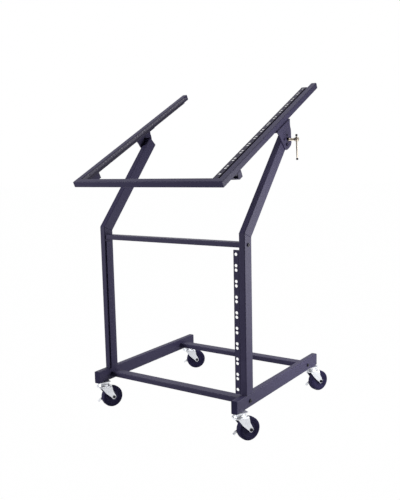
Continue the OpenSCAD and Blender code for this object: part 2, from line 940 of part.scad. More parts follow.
module rr_hub() {
    color(plug_black) placed() at_rear_right() hub();
}

module rr_axle() {
    color(zinc) placed() at_rear_right() axle();
}

module rr_brake_lever() {
    color(zinc) placed() at_rear_right() brake_lever();
}

left_runner();
right_runner();
runner_end_plugs();
front_base_crossbar();
rear_base_crossbar();
mid_crossbar();
crossbar_inserts();
crossbar_bolts();
left_upright();
right_upright();
upright_tip_plugs();
left_lower_strip();
right_lower_strip();
left_upper_rail();
right_upper_rail();
upper_front_bar();
rail_end_plugs();
left_upper_strip();
right_upper_strip();
left_gusset();
right_gusset();
left_stop_bracket();
right_stop_bracket();
pivot_bolts();
pivot_nuts();
clamp_nuts();
left_clamp_screw();
right_clamp_screw();
left_handle_bar();
right_handle_bar();
fl_top_plate();
fl_fork();
fl_tyre();
fl_hub();
fl_axle();
fl_brake_lever();
fr_top_plate();
fr_fork();
fr_tyre();
fr_hub();
fr_axle();
fr_brake_lever();
rl_top_plate();
rl_fork();
rl_tyre();
rl_hub();
rl_axle();
rl_brake_lever();
rr_top_plate();
rr_fork();
rr_tyre();
rr_hub();
rr_axle();
rr_brake_lever();
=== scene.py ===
import bpy
import bmesh
import random
from math import radians, pi, sin, cos, tan, sqrt
from mathutils import Matrix, Vector


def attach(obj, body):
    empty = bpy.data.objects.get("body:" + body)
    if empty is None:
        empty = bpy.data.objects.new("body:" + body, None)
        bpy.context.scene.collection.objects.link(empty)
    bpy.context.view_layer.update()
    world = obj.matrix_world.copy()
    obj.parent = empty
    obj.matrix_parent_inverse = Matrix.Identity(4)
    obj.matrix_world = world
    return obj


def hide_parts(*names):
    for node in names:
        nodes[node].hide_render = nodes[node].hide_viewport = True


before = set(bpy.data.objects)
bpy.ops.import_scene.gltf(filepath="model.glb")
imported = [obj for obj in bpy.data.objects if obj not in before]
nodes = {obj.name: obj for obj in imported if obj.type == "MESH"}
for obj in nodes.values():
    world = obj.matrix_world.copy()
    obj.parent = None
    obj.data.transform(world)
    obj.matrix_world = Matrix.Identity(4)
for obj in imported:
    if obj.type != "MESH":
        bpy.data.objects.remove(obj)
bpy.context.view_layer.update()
mm = 0.001
print("frame loaded:", len(nodes), "nodes")

# Camera solved from the photograph: place and clip in metres, angles in degrees, lens and film in mm
cameraView = {
    "place": (1.15554, -1.73126, 0.77793),
    "yaw": 34.194,
    "down": 7.561,
    "roll": -1.286,
    "lens": 47.113,
    "film": 36,
    "clip": (0.05, 60),
}

cameraData = bpy.data.cameras.new("camera")
camera = bpy.data.objects.new("camera", cameraData)
bpy.context.scene.collection.objects.link(camera)
cameraData.lens = cameraView["lens"]
cameraData.sensor_width = cameraView["film"]
cameraData.clip_start, cameraData.clip_end = cameraView["clip"]
camera.matrix_world = (
    Matrix.Translation(cameraView["place"])
    @ Matrix.Rotation(radians(cameraView["yaw"]), 4, "Z")
    @ Matrix.Rotation(radians(90 - cameraView["down"]), 4, "X")
    @ Matrix.Rotation(radians(cameraView["roll"]), 4, "Z")
)
bpy.context.scene.camera = camera
bpy.context.scene.view_settings.view_transform = "Standard"
print("camera placed")


def linearColour(hexText):
    channels = [int(hexText[i : i + 2], 16) / 255 for i in (1, 3, 5)]
    return tuple(c / 12.92 if c <= 0.04045 else ((c + 0.055) / 1.055) ** 2.4 for c in channels) + (1.0,)


# Adds one node, sets its properties, its sockets and its incoming links
def addNode(tree, kind, settings=None, values=None, links=None):
    made = tree.nodes.new("ShaderNode" + kind)
    for name, value in (settings or {}).items():
        setattr(made, name, value)
    for name, value in (values or {}).items():
        made.inputs[name].default_value = value
    for name, source in (links or {}).items():
        tree.links.new(source, made.inputs[name])
    return made


def newMaterial(name):
    material = bpy.data.materials.new(name)
    material.use_nodes = True
    tree = material.node_tree
    tree.nodes.clear()
    return material, tree


# Pattern scale from the real size of one grain, cloud or crystal in millimetres
def perMetre(size):
    return 1 / (size * mm)


# Joins colour, roughness and surface height to the shader and the output
def endMaterial(tree, look, colour, roughness, height):
    bump = addNode(tree, "Bump", values=look["bump"], links={"Height": height})
    shader = addNode(tree, "BsdfPrincipled", values=look["shader"], links={
        "Base Color": colour, "Roughness": roughness, "Normal": bump.outputs[0]})
    addNode(tree, "OutputMaterial", links={"Surface": shader.outputs[0]})


# Powder coat, sprayed and baked: satin black with a blue violet cast and a faint orange peel
powderCoat = {
    "base": "#3b3751",
    "worn": "#47435d",       # rubbed patches and dust
    "roughness": {"To Min": 0.40, "To Max": 0.52},
    "cloudMm": 71.4286,
    "rubbed": {"From Min": 0.56, "From Max": 0.78, "To Max": 0.4},
    "speckMm": 0.7,          # flecks of dust and overspray
    "flecked": {"From Min": 0.62, "From Max": 0.76, "To Max": 0.2},
    "speckHeight": 0.4,
    "grainMm": 1.6,          # orange peel of the cured powder, drawn coarse enough to show
    "bump": {"Strength": 0.03, "Distance": 0.25 * mm},
    "shader": {"IOR": 1.22},
}
# Painted light: a copy of the powder coat for the sloping strips, greyer, with less colour and less sheen,
# matched to the light the strips catch
stripPaintedLightCoat = {**powderCoat, "base": "#3f3c4c", "worn": "#4b4858", "shader": {"IOR": 1.18}}


def makePowderCoat(name, look):
    material, tree = newMaterial(name)
    where = {"Vector": addNode(tree, "TexCoord").outputs["Object"]}
    grain = addNode(tree, "TexNoise", values={
        "Scale": perMetre(look["grainMm"]), "Detail": 3, "Roughness": 0.55}, links=where)
    speck = addNode(tree, "TexNoise", values={"Scale": perMetre(look["speckMm"]), "Detail": 1}, links=where)
    cloud = addNode(tree, "TexNoise", values={
        "Scale": perMetre(look["cloudMm"]), "Detail": 5, "Roughness": 0.6}, links=where)
    clouded = {"Value": cloud.outputs["Fac"]}
    rubbed = addNode(tree, "MapRange", values=look["rubbed"], links=clouded)
    flecked = addNode(tree, "MapRange", values=look["flecked"], links={"Value": speck.outputs["Fac"]})
    both = {0: rubbed.outputs[0], 1: flecked.outputs[0]}
    share = addNode(tree, "Math", {"operation": "MAXIMUM"}, links=both)
    shades = {6: linearColour(look["base"]), 7: linearColour(look["worn"])}
    colour = addNode(tree, "Mix", {"data_type": "RGBA"}, shades, {0: share.outputs[0]})
    dull = addNode(tree, "MapRange", values=look["roughness"], links=clouded)
    heights = {0: speck.outputs["Fac"], 2: grain.outputs["Fac"]}
    height = addNode(tree, "Math", {"operation": "MULTIPLY_ADD"}, {1: look["speckHeight"]}, heights)
    endMaterial(tree, look, colour.outputs[2], dull.outputs[0], height.outputs[0])
    return material


# What the dark finishes share; their grains are drawn coarser than real, so that they show
darkBody = {
    "cloudMm": 25,
    "clouded": {"From Min": 0.42, "From Max": 0.72, "To Max": 0.8},
    "shader": {"IOR": 1.25},
}
# Moulded polyethylene and nylon: dull black with the fine texture of the mould
mouldedPlastic = {
    **darkBody,
    "base": "#201c3c",
    "light": "#2f2a4d",
    "roughness": {"To Min": 0.5, "To Max": 0.66},
    "grainMm": 1.1,
    "bump": {"Strength": 0.08, "Distance": 0.2 * mm},
}
# Vulcanised rubber: the same black, flatter and coarser
vulcanisedRubber = {
    **mouldedPlastic,
    "roughness": {"To Min": 0.66, "To Max": 0.82},
    "grainMm": 1.4,
    "bump": {"Strength": 0.1, "Distance": 0.2 * mm},
}
# Painted shade: a near black matt that gives nearly no light back, laid in a groove to stand for the shade
# that falls there
grooveShadeLook = {
    **darkBody,
    "base": "#0a0912",
    "light": "#12101b",
    "roughness": {"To Min": 0.7, "To Max": 0.85},
    "grainMm": 2.0,
    "bump": {"Strength": 0.1, "Distance": 0.2 * mm},
    "shader": {"IOR": 1.05},
}
# Black oxide, a bath finish on steel: near black with a weak metal gloss
blackOxide = {
    **darkBody,
    "base": "#14131d",
    "light": "#292836",
    "roughness": {"To Min": 0.34, "To Max": 0.5},
    "grainMm": 0.9,
    "bump": {"Strength": 0.06, "Distance": 0.2 * mm},
    "shader": {"Metallic": 0.6},
}


# One dark body with a fine grain and cloudy colour
def makeDark(name, look):
    material, tree = newMaterial(name)
    where = {"Vector": addNode(tree, "TexCoord").outputs["Object"]}
    grain = addNode(tree, "TexNoise", values={
        "Scale": perMetre(look["grainMm"]), "Detail": 4, "Roughness": 0.6}, links=where)
    cloud = addNode(tree, "TexNoise", values={"Scale": perMetre(look["cloudMm"]), "Detail": 4}, links=where)
    share = addNode(tree, "MapRange", values=look["clouded"], links={"Value": cloud.outputs["Fac"]})
    shades = {6: linearColour(look["base"]), 7: linearColour(look["light"])}
    colour = addNode(tree, "Mix", {"data_type": "RGBA"}, shades, {0: share.outputs[0]})
    dull = addNode(tree, "MapRange", values=look["roughness"], links={"Value": grain.outputs["Fac"]})
    endMaterial(tree, look, colour.outputs[2], dull.outputs[0], grain.outputs["Fac"])
    return material


# Bright zinc plate: near white metal with faint crystal patches and duller stains
zincPlate = {
    "base": "#e8eaef",
    "stain": "#c4c7cf",
    "roughness": {"To Min": 0.36, "To Max": 0.5},
    "spangleMm": 5.0,
    "cloudMm": 18.1818,
    "stained": {"From Min": 0.2, "From Max": 0.6, "To Max": 0.5},
    "grainMm": 0.8,          # drawing marks, coarser than real
    "bump": {"Strength": 0.05, "Distance": 0.1 * mm},
    "shader": {"Metallic": 1.0},
}
# Grey metal for the walls of the strip holes, lighter than the coat, so that the holes read light
holeWallGrey = {
    **zincPlate,
    "base": "#6f6d76",
    "stain": "#55535c",
    "roughness": {"To Min": 0.35, "To Max": 0.5},
    "spangleMm": 3.0,
    "grainMm": 0.5,
}
# Nickel plate: warmer and greyer than zinc, smoother and more even
nickelPlate = {
    **zincPlate,
    "base": "#bdb3a4",
    "stain": "#8f867a",
    "roughness": {"To Min": 0.3, "To Max": 0.42},
    "spangleMm": 6.0,
    "stained": {"From Min": 0.2, "From Max": 0.6, "To Max": 0.2},
    "grainMm": 0.6,
}


# Metal with crystal patches, stains and a fine drawn grain
def makePlated(name, look):
    material, tree = newMaterial(name)
    where = {"Vector": addNode(tree, "TexCoord").outputs["Object"]}
    patches = addNode(tree, "TexVoronoi", values={"Scale": perMetre(look["spangleMm"])}, links=where)
    cloud = addNode(tree, "TexNoise", values={
        "Scale": perMetre(look["cloudMm"]), "Detail": 5, "Roughness": 0.65}, links=where)
    grain = addNode(tree, "TexNoise", values={"Scale": perMetre(look["grainMm"]), "Detail": 2}, links=where)
    grey = addNode(tree, "RGBToBW", links={"Color": patches.outputs["Color"]})
    both = {0: grey.outputs[0], 1: cloud.outputs["Fac"]}
    mottled = addNode(tree, "Math", {"operation": "MULTIPLY"}, links=both)
    share = addNode(tree, "MapRange", values=look["stained"], links={"Value": mottled.outputs[0]})
    shades = {6: linearColour(look["base"]), 7: linearColour(look["stain"])}
    colour = addNode(tree, "Mix", {"data_type": "RGBA"}, shades, {0: share.outputs[0]})
    dull = addNode(tree, "MapRange", values=look["roughness"], links={"Value": cloud.outputs["Fac"]})
    endMaterial(tree, look, colour.outputs[2], dull.outputs[0], grain.outputs["Fac"])
    return material


coatedSteel = makePowderCoat("powderCoatedSteel", powderCoat)
# The sloping strips' copy of the powder coat, retoned for the light they catch
paintedLightStripCoat = makePowderCoat("powderCoatRetonedForStripLight", stripPaintedLightCoat)
plugPlastic = makeDark("mouldedPolyethylene", mouldedPlastic)
hubPlastic = makeDark("mouldedNylon", mouldedPlastic)
treadRubber = makeDark("vulcanisedRubber", vulcanisedRubber)
# The near black painted shade that is laid in the right groove
grooveShadePaint = makeDark("paintedGrooveShade", grooveShadeLook)
blackBolt = makeDark("blackOxideSteel", blackOxide)
zincSteel = makePlated("zincPlatedSteel", zincPlate)
nickelSteel = makePlated("nickelPlatedSteel", nickelPlate)
holeWallMetal = makePlated("lighterHoleWallMetal", holeWallGrey)
print("materials made")

# Finish of a CAD node by the end of its name; all others are powder coated
finishes = [
    (("upper_strip",), paintedLightStripCoat),
    (("_tyre",), treadRubber),
    (("_hub",), hubPlastic),
    (("plugs",), plugPlastic),
    (("crossbar_bolts", "_axle"), blackBolt),
    (("clamp_screw", "handle_bar"), nickelSteel),
    (("_inserts", "_nuts", "_top_plate", "_fork", "_brake_lever"), zincSteel),
]


def finishOf(name):
    for endings, finish in finishes:
        if name.endswith(endings):
            return finish
    return coatedSteel


for name, part in nodes.items():
    part.data.materials.clear()
    part.data.materials.append(finishOf(name))
print("finishes given to the CAD nodes")


def addPiece(name, mesh, material, body, replaced=()):
    piece = bpy.data.objects.new(name, mesh)
    bpy.context.scene.collection.objects.link(piece)
    mesh.materials.append(material)
    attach(piece, body)
    if replaced:
        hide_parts(*replaced)
    return piece


# Mesh from points in metres, seams closed, smooth except past the given angle
def makeMesh(name, points, faces, crease=35, seam=1e-6, sliver=1e-7):
    mesh = bpy.data.meshes.new(name)
    mesh.from_pydata([tuple(p) for p in points], [], faces)
    work = bmesh.new()
    work.from_mesh(mesh)
    bmesh.ops.remove_doubles(work, verts=work.verts, dist=seam)
    bmesh.ops.dissolve_degenerate(work, edges=work.edges, dist=sliver)
    bmesh.ops.recalc_face_normals(work, faces=work.faces)
    work.to_mesh(mesh)
    work.free()
    mesh.shade_smooth()
    mesh.set_sharp_from_angle(angle=radians(crease))
    return mesh


# Smooth balls of one radius in millimetres, one at each place
def ballsMesh(name, places, radius, around, rows):
    work = bmesh.new()
    for place in places:
        bmesh.ops.create_uvsphere(work, u_segments=around, v_segments=rows, radius=radius, matrix=place)
    mesh = bpy.data.meshes.new(name)
    work.to_mesh(mesh)
    work.free()
    mesh.shade_smooth()
    return mesh


# Faces of a closed tube made of rings, with a cap at each end
def tubeFaces(rows, around):
    faces = []
    for r in range(rows):
        for k in range(around):
            a, b, j = r * around, (r + 1) * around, (k + 1) % around
            faces.append((a + k, a + j, b + j, b + k))
    last = rows * around
    return faces + [tuple(reversed(range(around))), tuple(range(last, last + around))]


# Rounds each corner of a closed outline of (x, y, radius) points; a round takes less than half a side
def roundCorners(outline, steps=4, sideShare=0.49):
    made = []
    count = len(outline)
    for i, (x, y, radius) in enumerate(outline):
        here = Vector((x, y))
        if radius <= 0:
            made.append((x, y))
            continue
        before = Vector(outline[i - 1][:2]) - here
        after = Vector(outline[(i + 1) % count][:2]) - here
        angle = before.angle(after)
        reach = min(radius / tan(angle / 2), before.length * sideShare, after.length * sideShare)
        start, end = here + before.normalized() * reach, here + after.normalized() * reach
        for k in range(steps + 1):
            t = k / steps
            point = start * (1 - t) ** 2 + here * 2 * t * (1 - t) + end * t * t
            made.append((point.x, point.y))
    return made


# Turns a closed outline of (radius, height) millimetres about local Z
def turned(name, outline, place, steps=64, crease=35):
    points, faces = [], []
    count = len(outline)
    for i in range(steps):
        a = 2 * pi * i / steps
        points += [place @ Vector((r * cos(a), r * sin(a), z)) for r, z in outline]
        here, there = i * count, (i + 1) % steps * count
        for k in range(count):
            n = (k + 1) % count
            faces.append((here + k, there + k, there + n, here + n))
    return makeMesh(name, points, faces, crease)


# Shapes below are in millimetres in the part's own frame; placed() brings them to metres
def placed(x, y, z, turn=None):
    move = Matrix.Translation(Vector((x, y, z)) * mm)
    return (move @ turn if turn else move) @ Matrix.Scale(mm, 4)


sides = {"left": -1, "right": 1}

caster = {
    "spots": {               # x, y and heading of each kingpin
        "fl": (-254.5, -226.7, 22.4),
        "fr": (254.5, -226.7, 25.6),
        "rl": (-254.5, 251.0, 41.8),
        "rr": (254.5, 251.0, 25.1),
    },
    "trail": 28,             # axle behind the kingpin
    "wheelRadius": 34,
    "ballCount": 14,
    "ballRing": 17.4,
    "ballHeight": 76.2,
    "ballRadius": 1.0,
}

# Tyre section: stepped side wall, crowned tread and a fine parting line, as (radius, across, corner radius)
tyreHalf = [
    (25, 9.9, 0), (25.2, 11.0, 0.5), (28.4, 11.4, 0.6), (29.0, 10.7, 0.4), (31.2, 10.9, 0.6),
    (32.9, 9.9, 1.2), (33.75, 6.5, 2.0), (33.9, 0.6, 0), (34.0, 0.3, 0),
]
tyreOutline = tyreHalf + [(radius, -across, corner) for radius, across, corner in reversed(tyreHalf)]
# Hub: thin boss, flat web and stepped rim, as (radius, across, corner radius)
hubOutline = [
    (4.1, -11.8, 0), (8, -11.8, 0.6), (8.5, -9.6, 0.8), (20.6, -9.2, 0.8), (21.2, -10.6, 0.4),
    (24.9, -10.9, 0.4), (24.9, 10.9, 0.4), (21.2, 10.6, 0.4), (20.6, 9.2, 0.8), (8.5, 9.6, 0.8),
    (8, 13.7, 0.6), (4.1, 13.7, 0),
]
# Ball race: lower dish, dark groove with its balls, upper dish, as (radius, height, corner radius)
raceOutline = [
    (5.1, 71, 0), (21.9, 71, 0.6), (21.9, 74.4, 1.0), (19.6, 75.5, 0.4), (17.3, 75.6, 0), (17.3, 76.9, 0),
    (19.2, 77.0, 0.3), (18.2, 78.6, 1.0), (15.6, 80.4, 1.5), (14.9, 86.2, 0), (5.1, 86.2, 0),
]

# Fork pressed from sheet; its legs' edges are (height, depth) points, and its tips are round about the axle
forkSheet = {
    "half": 16.5,            # half its outer width
    "thick": 2.5,
    "crown": 74,             # height of its top
    "bend": 5,               # outer radius of its bends
    "frontEdge": [(32.3, 21), (50, 1.7), (69, -12.5)],
    "backEdge": [(36.8, 34.6), (55, 25.3), (74, 22)],
    "tip": 7,                # radius of the round
    "tipTop": {"front": 33, "back": 37},    # height where each edge leaves the round
    "tipInset": 0.05,        # leaves the lowest row of points some width
    "tipRows": 7,
    "levels": [36, 38, 41, 45, 50, 55, 60, 65, 69],
    "bendRows": 5,
    "columns": 9,
    "edgeRound": 0.5,
}


def edgeDepth(edge, z):
    (z0, y0), (z1, y1) = edge[:2] if z < edge[1][0] else edge[1:]
    return y0 + (y1 - y0) * (z - z0) / (z1 - z0)


# Front and back edge of the fork leg at a height
def legSpan(z):
    front, back = edgeDepth(forkSheet["frontEdge"], z), edgeDepth(forkSheet["backEdge"], z)
    rise = forkSheet["tip"] ** 2 - (z - caster["wheelRadius"]) ** 2
    if rise > 0:
        roundFront, roundBack = caster["trail"] - sqrt(rise), caster["trail"] + sqrt(rise)
        front = min(front, roundFront) if z > forkSheet["tipTop"]["front"] else roundFront
        back = max(back, roundBack) if z > forkSheet["tipTop"]["back"] else roundBack
    return front, back


# One bent strip of sheet: up one leg, across the crown and down the other
def forkMesh(name, place):
    half, thick, crown, bend = (forkSheet[k] for k in ("half", "thick", "crown", "bend"))
    tipRows, bendRows, columns = (forkSheet[k] for k in ("tipRows", "bendRows", "columns"))
    tip = forkSheet["tip"] - forkSheet["tipInset"]
    low = [caster["wheelRadius"] - tip * cos(pi / 2 * i / tipRows) for i in range(tipRows + 1)]
    rows = [((half, z), (1, 0), legSpan(z)) for z in low + forkSheet["levels"]]
    crownSpan = (forkSheet["frontEdge"][-1][1], forkSheet["backEdge"][-1][1])
    for i in range(1, bendRows + 1):
        a = radians(90 / bendRows * i)
        corner = (half - bend + bend * cos(a), crown - bend + bend * sin(a))
        rows.append((corner, (cos(a), sin(a)), crownSpan))
    rows += [((-x, z), (-nx, nz), span) for (x, z), (nx, nz), span in reversed(rows)]
    points, faces = [], []
    for (x, z), (nx, nz), (front, back) in rows:
        for depth in (0, thick):
            for k in range(columns):
                y = front + (back - front) * k / (columns - 1)
                points.append(place @ Vector((x - nx * depth, y, z - nz * depth)))
    stride = 2 * columns
    for r in range(len(rows) - 1):
        for k in range(columns - 1):
            a, b = r * stride + k, (r + 1) * stride + k
            faces += [(a, a + 1, b + 1, b), (a + columns, b + columns, b + columns + 1, a + columns + 1)]
        for k in (0, columns - 1):
            a, b = r * stride + k, (r + 1) * stride + k
            faces.append((a, b, b + columns, a + columns))
    for r in (0, len(rows) - 1):
        for k in range(columns - 1):
            a = r * stride + k
            faces.append((a, a + columns, a + columns + 1, a + 1))
    return makeMesh(name, points, faces, crease=40)


def addBevel(piece, width, segments=2, angle=40):
    bevel = piece.modifiers.new("softEdges", "BEVEL")
    bevel.width = width * mm
    bevel.segments = segments
    bevel.limit_method = "ANGLE"
    bevel.angle_limit = radians(angle)
    bevel.use_clamp_overlap = True
    bevel.harden_normals = True


for name, (x, y, heading) in caster["spots"].items():
    spot = placed(x, y, 0, Matrix.Rotation(radians(-heading), 4, "Z"))
    wheelCentre = Matrix.Translation((0, caster["trail"], caster["wheelRadius"]))
    axle = spot @ wheelCentre @ Matrix.Rotation(radians(90), 4, "Y")
    tyre = turned(name + "Tyre", roundCorners(tyreOutline), axle, steps=96, crease=50)
    addPiece(name + "Tyre", tyre, treadRubber, name + "_wheel", [name + "_tyre"])
    wheelHub = turned(name + "Hub", roundCorners(hubOutline), axle, steps=72)
    addPiece(name + "Hub", wheelHub, hubPlastic, name + "_wheel", [name + "_hub"])
    fork = forkMesh(name + "Fork", spot)
    forkPiece = addPiece(name + "Fork", fork, zincSteel, name + "_swivel", [name + "_fork"])
    addBevel(forkPiece, forkSheet["edgeRound"])
    race = turned(name + "Race", roundCorners(raceOutline), spot, steps=72)
    addPiece(name + "Race", race, zincSteel, name + "_swivel", ())
    ring, height, count = caster["ballRing"], caster["ballHeight"], caster["ballCount"]
    turns = [2 * pi * i / count for i in range(count)]
    places = [spot @ Matrix.Translation((ring * cos(a), ring * sin(a), height)) for a in turns]
    balls = ballsMesh(name + "Balls", places, caster["ballRadius"], around=16, rows=10)
    addPiece(name + "Balls", balls, nickelSteel, name + "_swivel", ())
print("casters dressed")

clamp = {
    "at": (57.974, 841.772),    # depth and height of the line of the screws
    "lean": 4,
    "handleAt": 294.5,       # from the middle of the stand
    "knobs": (12, -58),      # balls along the handle
    "knobRadius": 3.5,
}
thread = {
    "pitch": 1.25,
    "major": 4.0,
    "minor": 3.3,
    "from": 256.6,
    "to": 289.5,
    "around": 32,
    "perTurn": 6,
}


# Cut thread as one helical surface along local Z
def threadMesh(name, place):
    around = thread["around"]
    length, depth = thread["to"] - thread["from"], thread["major"] - thread["minor"]
    rows = int(length / thread["pitch"] * thread["perTurn"])
    points = []
    for r in range(rows + 1):
        z = thread["from"] + length * r / rows
        for k in range(around):
            phase = (z / thread["pitch"] - k / around) % 1
            radius = thread["minor"] + depth * (1 - abs(2 * phase - 1))
            a = 2 * pi * k / around
            points.append(place @ Vector((radius * cos(a), radius * sin(a), z)))
    return makeMesh(name, points, tubeFaces(rows, around), crease=60)


# Outlines as (radius, height, corner radius) along each piece's own line
collarOutline = [(3.4, 267.6, 0), (6, 267.6, 0.3), (6, 269.4, 0.6), (4.8, 270.1, 0.4), (3.4, 270.1, 0)]
# Cross-drilled head, waisted where the balls of the handle come to rest against it
headOutline = [
    (0.2, 288.5, 0), (4.6, 288.5, 0.4), (5.0, 289.4, 0.5), (6.2, 290.2, 0.6), (6.2, 292.6, 0.3),
    (5.8, 293.0, 0.3), (5.8, 296.0, 0.3), (6.2, 296.4, 0.3), (6.2, 299.1, 0.8), (5.0, 300.5, 0.4),
    (0.2, 300.5, 0),
]
# Handle bar swaged a little thinner beside each ball
handleOutline = [
    (0.1, -57, 0), (1.7, -56.5, 0.5), (1.7, -53, 0.5), (2.3, -52, 0.5),
    (2.3, 9, 0.5), (1.7, 9.6, 0.3), (1.7, 11, 0.3), (0.1, 11.5, 0),
]

for side, sign in sides.items():
    lean = Matrix.Rotation(radians(clamp["lean"]), 4, "X")
    along = placed(0, *clamp["at"], lean) @ Matrix.Rotation(radians(90 * sign), 4, "Y")
    body = side + "_clamp"
    head = turned(side + "ScrewHead", roundCorners(headOutline), along, steps=48)
    addPiece(side + "ScrewHead", head, nickelSteel, body, [side + "_clamp_screw"])
    addPiece(side + "ScrewThread", threadMesh(side + "ScrewThread", along), nickelSteel, body, ())
    collar = turned(side + "ScrewCollar", roundCorners(collarOutline), along, steps=48)
    addPiece(side + "ScrewCollar", collar, blackBolt, body, ())
    upright = placed(sign * clamp["handleAt"], *clamp["at"], lean)
    bar = turned(side + "HandleBar", roundCorners(handleOutline), upright, steps=32)
    addPiece(side + "HandleBar", bar, nickelSteel, side + "_handle", [side + "_handle_bar"])
    places = [upright @ Matrix.Translation((0, 0, z)) for z in clamp["knobs"]]
    knobs = ballsMesh(side + "HandleBalls", places, clamp["knobRadius"], around=32, rows=20)
    addPiece(side + "HandleBalls", knobs, blackBolt, side + "_handle", ())
print("clamp screws dressed")

weld = {
    "radius": 1.7,
    "ripple": 2.4,           # length of one ripple
    "rippleDepth": 0.14,
    "wander": 0.03,          # share by which the ripples differ
    "rowsPerRipple": 5,
    "around": 12,
    "endShare": 0.05,        # width left at the very end
    "seed": 7,
}
drift = random.Random(weld["seed"])


# Rippled weld bead between two points, half sunk in the corner it fills
def addBead(name, place, start, end, body, radius=weld["radius"]):
    start, end = Vector(start), Vector(end)
    run = (end - start).normalized()
    across = run.orthogonal().normalized()
    other = run.cross(across)
    length = (end - start).length
    rows = max(6, int(length / weld["ripple"] * weld["rowsPerRipple"]))
    around, depth, wander = weld["around"], weld["rippleDepth"], weld["wander"]
    points = []
    for r in range(rows + 1):
        t = r / rows
        near = min(t, 1 - t) * length / radius    # distance to the nearer end, in radii
        taper = sqrt(max(0.0, 1 - (1 - near) ** 2)) if near < 1 else 1.0
        wave = abs(sin(pi * t * length / weld["ripple"]))
        swell = 1 - depth + depth * wave + drift.uniform(-wander, wander)
        size = radius * max(taper, weld["endShare"]) * swell
        middle = start + run * length * t
        for k in range(around):
            a = 2 * pi * k / around
            points.append(place @ (middle + across * size * cos(a) + other * size * sin(a)))
    mesh = makeMesh(name, points, tubeFaces(rows, around), crease=70)
    return addPiece(name, mesh, coatedSteel, body, ())


# The walls of the holes in the sloping strips take a lighter grey metal than the coat, so that the holes
# read light
punch = {
    "first": 43.2,           # first hole along the frame
    "unit": 44.45,
    "units": 13,
    "pair": 31.75,           # second hole of a unit from its first
    "across": 232.55,        # row of holes from the middle
    "outer": 4.66,
    "inner": 4.5,
    "top": -0.55,            # levels in the frame
    "bottom": -2.45,
    "around": 32,
}


def punchedWalls(name, place, sign):
    outer, inner, top, bottom = (punch[k] for k in ("outer", "inner", "top", "bottom"))
    section = ((outer, top), (inner, top), (inner, bottom), (outer, bottom))
    starts = [punch["first"] + i * punch["unit"] for i in range(punch["units"])]
    around = punch["around"]
    points, faces = [], []
    for u in [start + step for start in starts for step in (0, punch["pair"])]:
        base = len(points)
        for k in range(around):
            a = 2 * pi * k / around
            for radius, w in section:
                x = sign * punch["across"] + radius * cos(a)
                points.append(place @ Vector((x, u + radius * sin(a), w)))
        for k in range(around):
            a, b = base + 4 * k, base + 4 * ((k + 1) % around)
            faces += [(a + e, b + e, b + (e + 1) % 4, a + (e + 1) % 4) for e in range(4)]
    return makeMesh(name, points, faces)


# Places of the beads: (across, depth, height) on the stand, (across, along, below) on the sloping
# frame. Across is the distance from the middle, the same on both sides.
standFront = -202.4          # front face of the uprights
frameSlope = {"start": (0, -311.94, 730.52), "tilt": 27}
beads = {
    "foot": {"across": (247.5, 261.5), "depths": {"Front": 0.2, "Back": 37.8}, "height": 127},
    "strip": {"across": 244.6, "depth": 23, "heights": (150, 270, 390, 505), "length": 24, "radius": 1.3},
    "bend": {
        "across": {"Inner": 245.1, "Outer": 263.9},
        "from": (2, 585),
        "to": (36, 572.2),
        "radius": 1.2,
    },
    "mitre": {"across": 245, "along": 19, "below": (-17, -2.5), "radius": 1.5},
    "rail": {
        "across": 245.2,
        "below": -19.3,
        "starts": (50, 190, 330, 470, 590),
        "length": 22,
        "radius": 1.3,
    },
    "gusset": {"across": 263.6, "below": -18.7, "starts": (330, 388), "length": 26, "radius": 1.4},
    "stop": {"across": (248, 261), "along": 97, "below": -19.2, "radius": 1.4},
}
onStand = placed(0, standFront, 0)
onFrame = placed(*frameSlope["start"], Matrix.Rotation(radians(frameSlope["tilt"]), 4, "X"))


def addStandBeads(side, s):
    foot, strip, bend = beads["foot"], beads["strip"], beads["bend"]
    near, far = (s * x for x in foot["across"])
    for end, y in foot["depths"].items():
        z = foot["height"]
        addBead(side + "FootBead" + end, onStand, (near, y, z), (far, y, z), "base")
    x, y = s * strip["across"], strip["depth"]
    for i, z in enumerate(strip["heights"]):
        top = z + strip["length"]
        addBead(side + "StripBead" + str(i), onStand, (x, y, z), (x, y, top), "base", strip["radius"])
    for face, x in bend["across"].items():
        start, end = (s * x, *bend["from"]), (s * x, *bend["to"])
        addBead(side + "Bend" + face + "Bead", onStand, start, end, "base", bend["radius"])


def addFrameBeads(side, s):
    mitre, stop = beads["mitre"], beads["stop"]
    start, end = ((s * mitre["across"], mitre["along"], w) for w in mitre["below"])
    addBead(side + "MitreBead", onFrame, start, end, "tilting_frame", mitre["radius"])
    for label, run in (("RailBead", beads["rail"]), ("GussetBead", beads["gusset"])):
        x, w = s * run["across"], run["below"]
        for i, u in enumerate(run["starts"]):
            end = (x, u + run["length"], w)
            addBead(side + label + str(i), onFrame, (x, u, w), end, "tilting_frame", run["radius"])
    start, end = ((s * x, stop["along"], stop["below"]) for x in stop["across"])
    addBead(side + "StopBead", onFrame, start, end, "tilting_frame", stop["radius"])


for side, sign in sides.items():
    addStandBeads(side, sign)
    addFrameBeads(side, sign)
    walls = punchedWalls(side + "PunchedWalls", onFrame, sign)
    addPiece(side + "PunchedWalls", walls, holeWallMetal, "tilting_frame", ())
print("weld beads laid, strip holes lined")

# Painted shade: a near black strip in the groove between the right sloping strip and its rail, standing for
# the shade in that groove; the left groove is open
seam = {"across": (240.3, 246.8), "along": (20, 608), "below": (-0.45, -3.2)}
inner, outer = seam["across"]
top, bottom = seam["below"]
section = ((inner, top), (outer, top), (outer, bottom), (inner, bottom))
corners = [onFrame @ Vector((x, u, w)) for u in seam["along"] for x, w in section]
boxFaces = [(0, 1, 5, 4), (1, 2, 6, 5), (2, 3, 7, 6), (3, 0, 4, 7), (0, 3, 2, 1), (4, 5, 6, 7)]
seamMesh = makeMesh("rightGroovePaintedShade", corners, boxFaces)
addPiece("rightGroovePaintedShade", seamMesh, grooveShadePaint, "tilting_frame", ())
# Prints once the painted shade strip lies in the right groove
print("right groove sealed")

